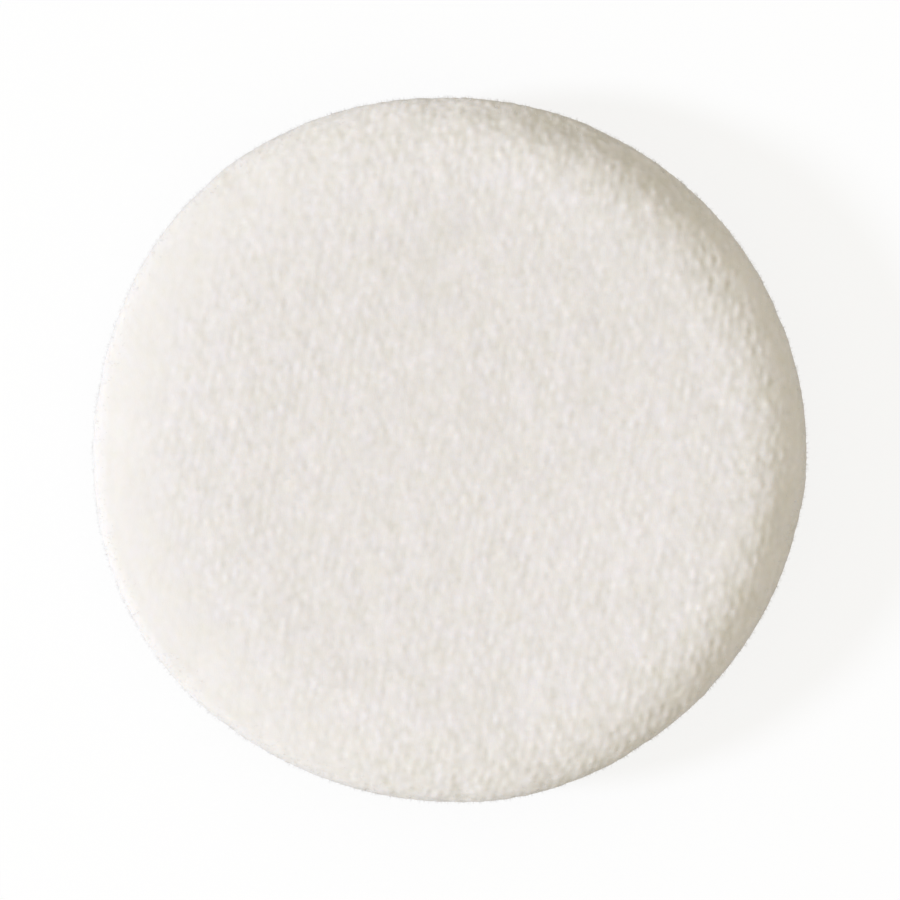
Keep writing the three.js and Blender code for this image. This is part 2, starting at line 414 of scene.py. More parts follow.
class Socket:
    """A shader socket that takes part in Python expressions."""

    def __init__(self, tree, socket):
        self.tree = tree
        self.socket = socket

    def maths(self, operation, first, second):
        return add_node(self.tree, "ShaderNodeMath", {"operation": operation}, {0: first, 1: second})["Value"]

    def __add__(self, other):
        return self.maths("ADD", self, other)

    def __radd__(self, other):
        return self.maths("ADD", other, self)

    def __sub__(self, other):
        return self.maths("SUBTRACT", self, other)

    def __rsub__(self, other):
        return self.maths("SUBTRACT", other, self)

    def __mul__(self, other):
        return self.maths("MULTIPLY", self, other)

    def __rmul__(self, other):
        return self.maths("MULTIPLY", other, self)

    def __lt__(self, other):
        return self.maths("LESS_THAN", self, other)

    def larger(self, other):
        """The larger of two values."""
        return self.maths("MAXIMUM", self, other)


def add_node(tree, kind, settings=None, sockets=None):
    """Add a node, make its settings, fill its sockets with values or links, and return its outputs."""
    node = tree.nodes.new(kind)
    for name, setting in (settings or {}).items():
        setattr(node, name, setting)
    for key, value in (sockets or {}).items():
        if isinstance(key, str):
            key = next(i for i, s in enumerate(node.inputs) if s.enabled and s.name == key)
        if isinstance(value, Socket):
            tree.links.new(value.socket, node.inputs[key])
        else:
            node.inputs[key].default_value = value
    return {s.name: Socket(tree, s) for s in node.outputs if s.enabled}


def new_material(name):
    """Make an empty node material."""
    material = bpy.data.materials.new(name)
    material.use_nodes = True
    material.node_tree.nodes.clear()
    return material


def finish_material(material, **sockets):
    """Close a material with a Principled shader that has these sockets."""
    tree = material.node_tree
    named = {name.replace("_", " "): value for name, value in sockets.items()}
    shader = add_node(tree, "ShaderNodeBsdfPrincipled", sockets=named)["BSDF"]
    add_node(tree, "ShaderNodeOutputMaterial", sockets={"Surface": shader})
    return material


def opaque(colour):
    """A colour with full alpha, for a node's socket."""
    return (*colour, 1.0)


def blended(tree, share, first, second):
    """A colour that goes from the first to the second as the share goes from 0 to 1."""
    return add_node(tree, "ShaderNodeMix", {"data_type": "RGBA", "clamp_factor": True},
                    {"Factor": share, "A": first, "B": second})["Result"]


def tinted(tree, share, colour, tint):
    """A colour that takes on more of a tint as the share goes from 0 to 1."""
    settings = {"data_type": "RGBA", "blend_type": "MULTIPLY", "clamp_factor": True}
    return add_node(tree, "ShaderNodeMix", settings, {"Factor": share, "A": colour, "B": tint})["Result"]


def darkened(colour, share):
    """A colour of which only a share is left, for a node's socket."""
    return opaque([part * share for part in colour])


def kept_value(tree, name, output="Fac"):
    """What a mesh keeps for its vertices under this name."""
    return add_node(tree, "ShaderNodeAttribute", {"attribute_name": name})[output]


def noise(tree, vector, scale, detail, roughness=0.5):
    """A pattern of soft noise, from 0 to 1."""
    return add_node(tree, "ShaderNodeTexNoise", sockets={
        "Vector": vector, "Scale": scale, "Detail": detail, "Roughness": roughness})["Fac"]


def swing(pattern, size):
    """A pattern from 0 to 1 as a swing of this size about nothing."""
    return (pattern - 0.5) * size


def bumped(tree, strength, distance, height, invert=False):
    """A normal that follows the slopes of a height."""
    return add_node(tree, "ShaderNodeBump", {"invert": invert}, {
        "Strength": strength, "Distance": distance, "Height": height})["Normal"]


def velour_material(name, colours):
    """Brushed cotton velour: soft tufts in rows, fine fibres along them and no shine."""
    material = new_material(name)
    tree = material.node_tree
    flat = kept_value(tree, "flat", "Vector")
    pile = kept_value(tree, "pile")
    painted_rim_tint = kept_value(tree, "painted_rim_tint")
    stretched = add_node(tree, "ShaderNodeMapping", sockets={
        "Vector": flat, "Scale": (9.0, 2.6, 1.0)})["Vector"]
    fibre = noise(tree, stretched, scale=1.0, detail=3.0, roughness=0.6)
    drawn_out = add_node(tree, "ShaderNodeMapping", {"vector_type": "TEXTURE"}, {
        "Vector": flat, "Rotation": (0.0, 0.0, BRUSHING), "Scale": (3.0, 1.0, 1.0)})["Vector"]
    patches = noise(tree, drawn_out, scale=0.6, detail=2.0)
    bleaching = noise(tree, flat, scale=0.55, detail=5.0, roughness=0.6)
    # The kept pile lightness paints shade in the furrows and light on the tufts, and on the front also the
    # painted light and shade of its bumps, creases and rim; fibre and patch noise add real tone
    share = pile + swing(fibre, 0.2) + swing(patches, 0.06)
    colour = blended(tree, share, opaque(colours.pile_furrow_shade), opaque(colours.pile_tip))
    colour = tinted(tree, 0.5 + swing(bleaching, 2.5), colour, opaque(colours.pile_unbleached))
    # Painted rim tint: yellower over the rim, for the colour of its light and shade
    colour = tinted(tree, painted_rim_tint, colour, opaque(colours.pile_painted_rim_tint))
    return finish_material(
        material, Base_Color=colour, Roughness=1.0 - pile * 0.06,
        Normal=bumped(tree, strength=0.35, distance=0.02 * MM, height=fibre),
        Sheen_Weight=0.15, Sheen_Roughness=0.5, Specular_IOR_Level=0.15,
        Subsurface_Weight=0.3, Subsurface_Radius=(1.0, 0.85, 0.7), Subsurface_Scale=0.15 * MM)


def fibre_material(name, colours):
    """Loose cotton fibres, lighter and darker from place to place."""
    material = new_material(name)
    tree = material.node_tree
    place = add_node(tree, "ShaderNodeTexCoord")["Object"]
    shade = noise(tree, place, scale=900.0, detail=2.0)
    colour = blended(tree, shade, opaque(colours.pile_furrow_shade), opaque(colours.pile_tip))
    return finish_material(
        material, Base_Color=colour, Roughness=0.8 + shade * 0.2, Specular_IOR_Level=0.2,
        Subsurface_Weight=1.0, Subsurface_Radius=(1, 1, 1), Subsurface_Scale=0.3 * MM)


def foam_material(name, colours):
    """Open-cell foam: pale and matt, pitted all over with small cells."""
    material = new_material(name)
    tree = material.node_tree
    place = add_node(tree, "ShaderNodeTexCoord")["Object"]
    cells = add_node(tree, "ShaderNodeTexVoronoi", {"feature": "DISTANCE_TO_EDGE"}, {
        "Vector": place, "Scale": 2200.0})["Distance"]
    mottle = noise(tree, place, scale=300.0, detail=3.0)
    # Painted shade in the pores: the cells' sunken middles are coloured darker
    share = 1.0 - cells * 2.2 + swing(mottle, 0.3)
    colour = blended(tree, share, darkened(colours.foam, 0.72), opaque(colours.foam))
    return finish_material(
        material, Base_Color=colour, Roughness=0.95 - cells * 0.1,
        Normal=bumped(tree, strength=0.8, distance=0.15 * MM, height=cells, invert=True),
        Specular_IOR_Level=0.2)


def satin_material(name, colours):
    """Woven satin: fine floats along the ribbon, with ribbed selvedges."""
    material = new_material(name)
    tree = material.node_tree
    flat = kept_value(tree, "flat", "Vector")
    selvedge = kept_value(tree, "selvedge")
    floats = add_node(tree, "ShaderNodeTexWave", {"bands_direction": "Y"}, {
        "Vector": flat, "Scale": 2.6, "Distortion": 1.2, "Detail": 2.0, "Detail Scale": 3.0})["Fac"]
    cloudy = add_node(tree, "ShaderNodeMapping", sockets={
        "Vector": flat, "Scale": (0.5, 4.0, 1.0)})["Vector"]
    streaks_and_painted_sheen = noise(tree, cloudy, scale=1.0, detail=3.0)
    # The streaks are uneven floats, and their lighter and darker colour is partly painted sheen of the satin
    share = 0.6 + swing(floats, 0.5) + swing(streaks_and_painted_sheen, 1.0) - selvedge * 0.4
    colour = blended(tree, share, darkened(colours.ribbon, 0.78), opaque(colours.ribbon))
    return finish_material(
        material, Base_Color=colour, Roughness=0.33 + streaks_and_painted_sheen * 0.15 + selvedge * 0.2,
        Normal=bumped(tree, strength=0.6, distance=0.03 * MM, height=floats + streaks_and_painted_sheen),
        Sheen_Weight=0.2, Sheen_Roughness=0.3)


def thread_material(name, colours):
    """Twisted polyester thread, with a slight sheen."""
    material = new_material(name)
    tree = material.node_tree
    place = add_node(tree, "ShaderNodeTexCoord")["Object"]
    fibre = noise(tree, place, scale=9000.0, detail=2.0)
    colour = blended(tree, fibre, darkened(colours.thread, 0.8), opaque(colours.thread))
    return finish_material(
        material, Base_Color=colour, Roughness=0.45 + fibre * 0.2,
        Normal=bumped(tree, strength=0.4, distance=0.03 * MM, height=fibre), Sheen_Weight=0.2)


def smooth_step(x, low, high):
    """0 below low, 1 above high and a smooth rise between them."""
    t = np.clip((x - low) / (high - low), 0, 1)
    return t * t * (3 - 2 * t)


def soft_noise(x, y, size, seed):
    """Smooth patches of about a given size, from -1 to 1, the same on each run."""
    table = np.random.default_rng(seed).uniform(-1, 1, (NOISE_CELLS, NOISE_CELLS))
    u, v = x / size, y / size
    i, j = np.floor(u).astype(int), np.floor(v).astype(int)
    p, q = smooth_step(u - i, 0, 1), smooth_step(v - j, 0, 1)

    def corner(a, b):
        return table[(i + a) % NOISE_CELLS, (j + b) % NOISE_CELLS]

    low = corner(0, 0) * (1 - p) + corner(1, 0) * p
    high = corner(0, 1) * (1 - p) + corner(1, 1) * p
    return low * (1 - q) + high * q


def distance_of(places):
    """How far each place is from the middle."""
    return np.hypot(places[:, 0], places[:, 1])


def bearing_of(places):
    """The bearing of each place from the middle."""
    return np.arctan2(places[:, 1], places[:, 0])


def heading_of(places):
    """The unit vector from the middle to each place."""
    return places / np.maximum(distance_of(places), TINY)[:, None]


def turned(places, turn):
    """How far each place lies along a bearing, and how far to the left of it."""
    along = places[:, 0] * np.cos(turn) + places[:, 1] * np.sin(turn)
    left = places[:, 1] * np.cos(turn) - places[:, 0] * np.sin(turn)
    return along, left


def brushed_patches(flat, seed):
    """Height of the patches that brushing and handling leave in the pile."""
    height = np.zeros(len(flat))
    along, across = turned(flat, BRUSHING)
    for i, (size, rise) in enumerate(PATCHES):
        height += rise * MM * soft_noise(along / PATCH_STRETCH, across, size * MM, seed + i)
    return height


def painted_light_and_shade_at(spots):
    """How much lighter the front's pile is painted at each spot, as painted light and shade; below nothing it
    is darker.
    """
    lighter = np.zeros(len(spots))
    for x, y, bearing, length, width, change in PAINTED_LIGHT_AND_SHADE:
        along, across = turned(spots / MM - (x, y), math.radians(bearing))
        lighter += change * np.exp(-(along / length) ** 2 - (across / width) ** 2)
    return lighter


def stuffing(flat, section, sizes):
    """How far the foam pushes the front out or lets it sink, with a longer shoulder on one side."""
    distance, bearing = distance_of(flat), bearing_of(flat)
    r = np.interp(distance, section.along, section.r)
    softness = 0.5 + 0.5 * np.cos(bearing - sizes.soft_bearing)
    rise = section.rise * (shoulder_share(r, sizes.shoulder_run + sizes.soft_run * softness)
                           - shoulder_share(r, sizes.shoulder_run))
    for middle, width, reach, inwards, outwards, size in STUFFING:
        turn = np.angle(np.exp(1j * (bearing - math.radians(middle)))) / math.radians(width)
        away = r / MM - reach
        away = away / np.where(away < 0, inwards, outwards)
        fading = 1 - smooth_step(r, STUFFING_FADES, PUFF_RADIUS)
        rise += size * MM * np.exp(-turn ** 2 - away ** 2) * fading
    return np.where(distance < section.rim, rise, 0)


def shoulder_share(r, run):
    """Height of a rounded shoulder of a given run, from 1 on the face to 0 at the rim."""
    return np.sqrt(1 - np.clip((r - PUFF_RADIUS + run) / run, 0, 1) ** 2)


def by_hand(points):
    """Draw the puff slightly out of round, as a hand-turned cover is. All its pieces share this."""
    bearing = bearing_of(points)
    reach = distance_of(points) / PUFF_RADIUS
    wander = np.zeros(len(points))
    for waves, size, peak in OUT_OF_ROUND:
        wander += size * MM * np.cos(waves * (bearing - math.radians(peak)))
    moved = points.copy()
    moved[:, :2] *= (1 + wander / PUFF_RADIUS * reach ** 2)[:, None]
    return moved


class CoverSection:
    """A cover's outer line, from the middle of its face over the rim and the fold in to the raw edge.

    Heights are from the seam. A point of the cloth is given by its distance from the middle, along it.
    """

    def __init__(self, sizes, crown):
        fold = sizes.velour_thickness + sizes.fold_opening
        fold_height = sizes.seam_gap / 2 + fold
        self.fold_line = PUFF_RADIUS - fold
        self.raw_edge = self.fold_line - sizes.seam_allowance
        self.seam_half = sizes.seam_gap / 2
        self.rise = HALF_THICKNESS - fold_height
        face = np.linspace(0, PUFF_RADIUS - sizes.shoulder_run, FACE_POINTS)
        turn = np.linspace(0, math.pi / 2, TURN_POINTS)[1:]
        shoulder = PUFF_RADIUS - sizes.shoulder_run * (1 - np.sin(turn))
        allowance = np.linspace(self.fold_line, self.raw_edge, ALLOWANCE_POINTS)[1:]

        def crowned(r):
            return self.rise - crown * (r / PUFF_RADIUS) ** 2

        r = np.concatenate([face, shoulder, self.fold_line + fold * np.cos(turn), allowance])
        z = np.concatenate([
            fold_height + crowned(face),
            fold_height + crowned(shoulder) * np.cos(turn),
            fold_height - fold * np.sin(turn),
            np.full(len(allowance), self.seam_half),
        ])
        along = np.concatenate([[0], np.cumsum(np.hypot(np.diff(r), np.diff(z)))])
        self.along = np.linspace(0, along[-1], SECTION_POINTS)
        self.r = np.interp(self.along, along, r)
        self.z = np.interp(self.along, along, z)
        slope_r = np.gradient(self.r, self.along)
        slope_z = np.gradient(self.z, self.along)
        length = np.hypot(slope_r, slope_z)
        self.out_r = -slope_z / length
        self.out_z = slope_r / length
        self.face_end = along[len(face) - 1]
        self.rim = along[len(face) + len(turn) - 1]
        self.fold_end = along[len(face) + 2 * len(turn) - 1]
        self.fold_middle = (self.rim + self.fold_end) / 2
        self.shoulder_middle = (self.face_end + self.rim) / 2
        self.cut_radius = along[-1]

    def at(self, distance):
        """Radius and height of the line at distances along the cloth, and the outward normal there."""
        return [np.interp(distance, self.along, line) for line in (self.r, self.z, self.out_r, self.out_z)]

    def lay(self, flat, lift):
        """Lay flat cloth over the section, raised by a lift along its outward normal."""
        r, z, out_r, out_z = self.at(distance_of(flat))
        return np.column_stack([heading_of(flat) * (r + out_r * lift)[:, None], z + out_z * lift])


def tuft_layer(flat, steps, seed, jitter, weakest, lean, sway, width, length, spread):
    """Sum of soft tufts on a lattice, each a little out of place, leaning and of its own strength."""
    rng = np.random.default_rng(seed)
    shift = rng.uniform(-jitter, jitter, (*TUFT_REPEAT, 2))
    strength = rng.uniform(weakest, 1.0, TUFT_REPEAT)
    leaning = rng.normal(0, lean, TUFT_REPEAT)
    size = np.exp(rng.normal(0, spread, TUFT_REPEAT))
    cells = np.linalg.solve(steps, flat.T).T
    home = np.floor(cells).astype(int)
    height = np.zeros(len(flat))
    for i in (-1, 0, 1):
        for j in (-1, 0, 1):
            cell = home + (i, j)
            key = (cell[:, 0] % TUFT_REPEAT[0], cell[:, 1] % TUFT_REPEAT[1])
            away = flat - (cell + 0.5 + shift[key]) @ steps.T
            turn = leaning[key] + sway * np.where(cell[:, 0] % 2 == 0, 1, -1)
            across, along = turned(away, turn)
            fall = ((across / width) ** 2 + (along / length) ** 2) / size[key]
            height += strength[key] * np.exp(-0.5 * fall)
    return height


def tuft_heights(flat, pile):
    """Heights of the pile at each point of the flat cloth: of its tufts, from 0 to 1, and of its strays."""
    steps = np.array([pile.row_step, pile.rib_step]).T
    rows = tuft_layer(flat, steps, pile.seed, jitter=0.17, weakest=0.43,
                      lean=pile.tuft_lean, sway=0.7 * pile.tuft_lean,
                      width=pile.tuft_width, length=pile.tuft_length, spread=0.5)
    strays = tuft_layer(flat, STRAY_SPACING * steps, pile.seed + 1, jitter=0.45, weakest=-1.0,
                        lean=pile.tuft_lean, sway=0,
                        width=pile.stray_width, length=0.9 * pile.stray_width, spread=0.0)
    return 1 - np.exp(-pile.tuft_crowding * rows), strays


def pile_nap_and_painted_contrast(flat, section):
    """How far the front's tufts stand apart, which also sets how strongly their painted light and shade show.

    The pile lies flatter, and its painted light and shade are fainter, over the shoulder that faces the lamp;
    it stands apart, and they show more, over the shoulder turned from it, most by the shade at the upper
    right, and both are less on the edge in shade. Towards and past the rim the pile turns plain.
    """
    distance, bearing = distance_of(flat), bearing_of(flat)
    r = np.interp(distance, section.along, section.r)
    facing = np.cos(bearing - NAP_BEARING)
    near_upper_shade = np.exp(-((bearing - UPPER_SHADE_BEARING) / UPPER_SHADE_SPREAD) ** 2)
    shaded_side = smooth_step(facing, *SHADED_SIDE_FACING)
    around = LIT_SIDE_NAP + (SHADED_SIDE_NAP - LIT_SIDE_NAP) * shaded_side + UPPER_SHADE_NAP * near_upper_shade
    shaded_edge = smooth_step(facing, *SHADED_EDGE_FACING) * smooth_step(r, *SHADED_EDGE_RADII)
    shaped = (1 + (around - 1) * smooth_step(r, *NAP_CHANGES)) * (1 - SHADED_EDGE_SHARE * shaded_edge)
    past_rim = smooth_step(distance - section.rim, *NAP_SHAPING_ENDS)
    return shaped + (PLAIN_NAP - shaped) * past_rim


def cut_cloth(pile, section, sizes):
    """Cut a disc of velour and give it a backing: a closed flat bmesh that keeps each vertex's depth.

    The part turned in behind the seam needs no pile, so it is a plain ring.
    """
    shown = section.fold_end
    cloth = bmesh.new()
    bmesh.ops.create_grid(cloth, x_segments=round(2 * shown / pile.across_spacing),
                          y_segments=round(2 * shown / pile.along_spacing), size=shown)
    outside = [v for v in cloth.verts if v.co.xy.length > shown]
    bmesh.ops.delete(cloth, geom=outside, context="VERTS")
    stray = [f for f in cloth.faces if sum(e.is_boundary for e in f.edges) > 2]
    bmesh.ops.delete(cloth, geom=stray, context="FACES")
    bmesh.ops.delete(cloth, geom=[v for v in cloth.verts if not v.link_faces], context="VERTS")
    depth = cloth.verts.layers.float.new("depth")
    backing = (section.cut_radius, section.fold_end, section.fold_middle, section.rim,
               section.shoulder_middle, section.face_end, section.face_end / 2)
    rings = [(section.cut_radius, 0)] + [(radius, sizes.velour_thickness) for radius in backing]
    edge = [e for e in cloth.edges if e.is_boundary]
    for radius, down in rings:
        made = bmesh.ops.extrude_edge_only(cloth, edges=edge)["geom"]
        for v in made:
            if isinstance(v, bmesh.types.BMVert):
                v[depth] = down
                v.co.xy *= radius / v.co.xy.length
        edge = [e for e in made if isinstance(e, bmesh.types.BMEdge) and e.is_boundary]
    bmesh.ops.edgeloop_fill(cloth, edges=edge)
    bmesh.ops.recalc_face_normals(cloth, faces=cloth.faces)
    return cloth


def new_piece(name, cloth, material):
    """Turn a bmesh into a smooth-shaded piece of the puff that rides on its only body."""
    mesh = bpy.data.meshes.new(name)
    cloth.to_mesh(mesh)
    cloth.free()
    mesh.shade_smooth()
    mesh.materials.append(material)
    piece = bpy.data.objects.new(name, mesh)
    bpy.context.scene.collection.objects.link(piece)
    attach(piece, "root")
    return piece


def read_points(mesh):
    """A mesh's vertex positions as an array."""
    points = np.empty(len(mesh.vertices) * 3, dtype=np.float32)
    mesh.vertices.foreach_get("co", points)
    return points.reshape(-1, 3).astype(float)


def write_points(mesh, points):
    """Move a mesh's vertices to the rows of an array."""
    mesh.vertices.foreach_set("co", points.astype(np.float32).ravel())
    mesh.update()


def keep_attribute(mesh, name, values):
    """Keep a number or a vector for each vertex, for the material to read."""
    if values.ndim == 1:
        mesh.attributes.new(name, "FLOAT", "POINT").data.foreach_set("value", values.astype(np.float32))
    else:
        mesh.attributes.new(name, "FLOAT_VECTOR", "POINT").data.foreach_set(
            "vector", values.astype(np.float32).ravel())


def spun(line, steps, merge):
    """Turn a line of radii and heights once round the puff's axis, as a bmesh."""
    body = bmesh.new()
    corners = [body.verts.new((r, 0, z)) for r, z in line]
    edges = [body.edges.new(pair) for pair in zip(corners, corners[1:])]
    bmesh.ops.spin(body, geom=corners + edges, axis=(0, 0, 1), cent=(0, 0, 0), angle=2 * math.pi,
                   steps=steps, use_merge=True)
    bmesh.ops.remove_doubles(body, verts=body.verts, dist=merge)
    bmesh.ops.recalc_face_normals(body, faces=body.faces)
    return body


def drawn_strands(name, strands, diameter, roundness, merge, taper=None):
    """Give lines of points a round body, as a bmesh. A taper has a share of the diameter for each point."""
    curve = bpy.data.curves.new(name, "CURVE")
    curve.dimensions = "3D"
    curve.bevel_depth = diameter / 2
    curve.bevel_resolution = roundness
    curve.use_fill_caps = True
    for strand in strands:
        line = curve.splines.new("POLY")
        line.points.add(len(strand) - 1)
        weighted = np.column_stack([strand, np.ones(len(strand))])
        line.points.foreach_set("co", weighted.astype(np.float32).ravel())
        if taper:
            line.points.foreach_set("radius", taper)
    drawn = bpy.data.objects.new(name + "_strands", curve)
    body = bmesh.new()
    body.from_mesh(drawn.to_mesh())
    drawn.to_mesh_clear()
    bpy.data.objects.remove(drawn)
    bmesh.ops.remove_doubles(body, verts=body.verts, dist=merge)
    bmesh.ops.recalc_face_normals(body, faces=body.faces)
    return body


def ribbon_lift(section, distance):
    """How far the ribbon's middle lies off the back cover's line: proud on the face, drawn in at the rim."""
    stations = [0, section.face_end * PROUD_SHARE, section.shoulder_middle, section.rim,
                section.fold_end, section.cut_radius]
    lifts = [RIBBON_PROUD, RIBBON_PROUD, -SHOULDER_DRAW, -RIM_DRAW, section.seam_half, section.seam_half]
    return np.interp(distance, stations, lifts)


def stuffed_blank(mesh, held):
    """Push a blank cover out by cloth simulation, with some points held, and return where its points end."""
    scene = bpy.context.scene
    cover = bpy.data.objects.new("cover_blank", mesh)
    scene.collection.objects.link(cover)
    seam = cover.vertex_groups.new(name="seam")
    seam.add(np.flatnonzero(held).tolist(), 1.0, "REPLACE")
    cloth = cover.modifiers.new("cloth", "CLOTH").settings
    cloth.quality = 8
    cloth.mass = 0.2
    cloth.bending_stiffness = 5
    cloth.vertex_group_mass = seam.name
    cloth.use_pressure = True
    cloth.uniform_pressure_force = 1
    cloth.effector_weights.gravity = 0
    for step in range(1, BLANK_STEPS + 1):
        scene.frame_set(step)
    points = read_points(cover.evaluated_get(bpy.context.evaluated_depsgraph_get()).data)
    scene.frame_set(1)
    bpy.data.objects.remove(cover)
    return points


def sewn_puckers(section, seed):
    """Stuff a coarse cover, and return the puckers of its rim as a function of a flat position.

    The cover is held along the seam and pushed out, and its rim gathers. Only what differs round each
    ring is kept, so that the puff's section stays as it is drawn.
    """
    pucker = np.zeros((BLANK_RINGS + 1, BLANK_BEARINGS))
    line = [(section.cut_radius * i / BLANK_RINGS, 0) for i in range(BLANK_RINGS + 1)]
    blank = spun(line, BLANK_BEARINGS, BLANK_ROUGHNESS)
    mesh = bpy.data.meshes.new("cover_blank")
    blank.to_mesh(mesh)
    blank.free()
    flat = read_points(mesh)[:, :2]
    distance = distance_of(flat)
    rng = np.random.default_rng(seed)
    laid = section.lay(flat, rng.normal(0, BLANK_ROUGHNESS, len(flat)))
    write_points(mesh, laid * BLANK_SCALE)
    held = distance > section.fold_end - BLANK_HOLD
    moved = stuffed_blank(mesh, held) / BLANK_SCALE - laid
    bpy.data.meshes.remove(mesh)
    out_r, out_z = section.at(distance)[2:]
    ring = np.round(distance / section.cut_radius * BLANK_RINGS).astype(int)
    turn = np.round(bearing_of(flat) / (2 * math.pi) * BLANK_BEARINGS).astype(int) % BLANK_BEARINGS
    pucker[ring, turn] = (moved[:, :2] * heading_of(flat)).sum(axis=1) * out_r + moved[:, 2] * out_z
    pucker[1:] -= pucker[1:].mean(axis=1, keepdims=True)
    pucker[0] = 0

    def puckers_at(places):
        u = np.clip(distance_of(places) / section.cut_radius * BLANK_RINGS, 0, BLANK_RINGS - 1e-6)
        v = bearing_of(places) / (2 * math.pi) * BLANK_BEARINGS
        i, j = u.astype(int), np.floor(v).astype(int)
        p, q = u - i, smooth_step(v - j, 0, 1)
        here, there = j % BLANK_BEARINGS, (j + 1) % BLANK_BEARINGS
        near = pucker[i, here] * (1 - q) + pucker[i, there] * q
        far = pucker[i + 1, here] * (1 - q) + pucker[i + 1, there] * q
        return near * (1 - p) + far * p

    return puckers_at


class VelourCover:
    """A velour cover, cut flat and laid over its half of the puff. Its side is 1 in front and -1 behind."""

    def __init__(self, scene, crown, side):
        self.sizes = scene.puff_sizes
        self.pile = scene.puff_pile
        self.side = side
        self.section = CoverSection(self.sizes, crown)
        self.puckers_at = sewn_puckers(self.section, self.pile.seed + PUCKER_SEED + side)

    def under_ribbon(self, flat):
        """1 where the ribbon crosses the cover and 0 beside it."""
        lateral = np.abs(self.section.lay(flat, np.zeros(len(flat)))[:, 1])
        return 1 - smooth_step(lateral, *DENT_EDGE)

    def piled(self, flat):
        """1 where the pile can be seen and 0 in the seam."""
        return 1 - smooth_step(distance_of(flat), self.section.fold_middle, self.section.fold_end)

    def lift(self, flat):
        """How far the cloth stands off its section for its puckers, patches, seam and ribbon."""
        sizes, pile, section = self.sizes, self.pile, self.section
        distance = distance_of(flat)
        ribboned = self.under_ribbon(flat)
        on_shoulder = smooth_step(distance, section.face_end, section.rim)
        in_seam = smooth_step(distance, section.rim, section.fold_end)
        puckers = np.clip(sizes.pucker_share * self.puckers_at(flat), -PUCKER_LIMIT, PUCKER_LIMIT)
        lift = puckers * on_shoulder * (1 - in_seam)
        lift += pile.unevenness * brushed_patches(flat, pile.seed) * self.piled(flat)
        lift += sizes.seam_closing * in_seam * (1 - ribboned)
        if self.side < 0:
            lift += BACK_FULLNESS * (1 - on_shoulder)
            pressed = ribbon_lift(section, distance) - sizes.ribbon_thickness / 2 - RIBBON_CLEARANCE
            lift = np.where(lift > pressed, lift + (pressed - lift) * ribboned, lift)
        return lift

    def place(self, flat, raised):
        """Places on the puff for places on the flat cloth, raised along the cloth's normal."""
        laid = self.section.lay(flat, self.lift(flat) + raised)
        if self.side > 0:
            laid[:, 2] += stuffing(flat, self.section, self.sizes)
        laid[:, 2] *= self.side
        laid = by_hand(laid)
        laid[:, 2] += SEAM_HEIGHT
        return laid

    def bare(self, flat):
        """Where the ribbon leaves no room for loose fibres."""
        if self.side < 0:
            return self.under_ribbon(flat) > BARE_SHARE
        return np.zeros(len(flat), dtype=bool)


def make_fibres(name, cover, colours):
    """Stand loose fibres on a cover, most of them round the rim, as short tapered hairs in one mesh."""
    pile, section = cover.pile, cover.section
    rng = np.random.default_rng(pile.seed + FIBRE_SEED)
    spread = np.sqrt(rng.uniform(0, 1, FIBRE_TRIES * pile.fibre_count))
    away = section.fold_end * spread - FIBRE_INSET
    bearing = rng.uniform(0, 2 * math.pi, len(away))
    flat = np.column_stack([away * np.cos(bearing), away * np.sin(bearing)])
    kept = rng.uniform(0, 1, len(away)) < smooth_step(away, section.shoulder_middle, section.rim)
    flat = flat[kept & ~cover.bare(flat)][:pile.fibre_count]
    length = pile.fibre_length * rng.uniform(FIBRE_SHORTEST, 1.0, len(flat))
    swerve = rng.normal(0, FIBRE_SWERVE, (len(flat), 2)) * length[:, None]
    root = cover.place(flat, np.full(len(flat), -FIBRE_ROOT))
    middle = cover.place(flat + FIBRE_BEND[0] * swerve, FIBRE_BEND[1] * length)
    tip = cover.place(flat + swerve, length)
    hairs = np.stack([root, middle, tip], axis=1)
    hairs = hairs[hairs[:, :, 2].min(axis=1) > FIBRE_ROOM]
    fuzz = drawn_strands(name, hairs, pile.fibre_diameter, roundness=0, merge=FIBRE_MERGE,
                         taper=FIBRE_TAPER)
    piece = new_piece(name, fuzz, fibre_material(name, colours))
    return piece


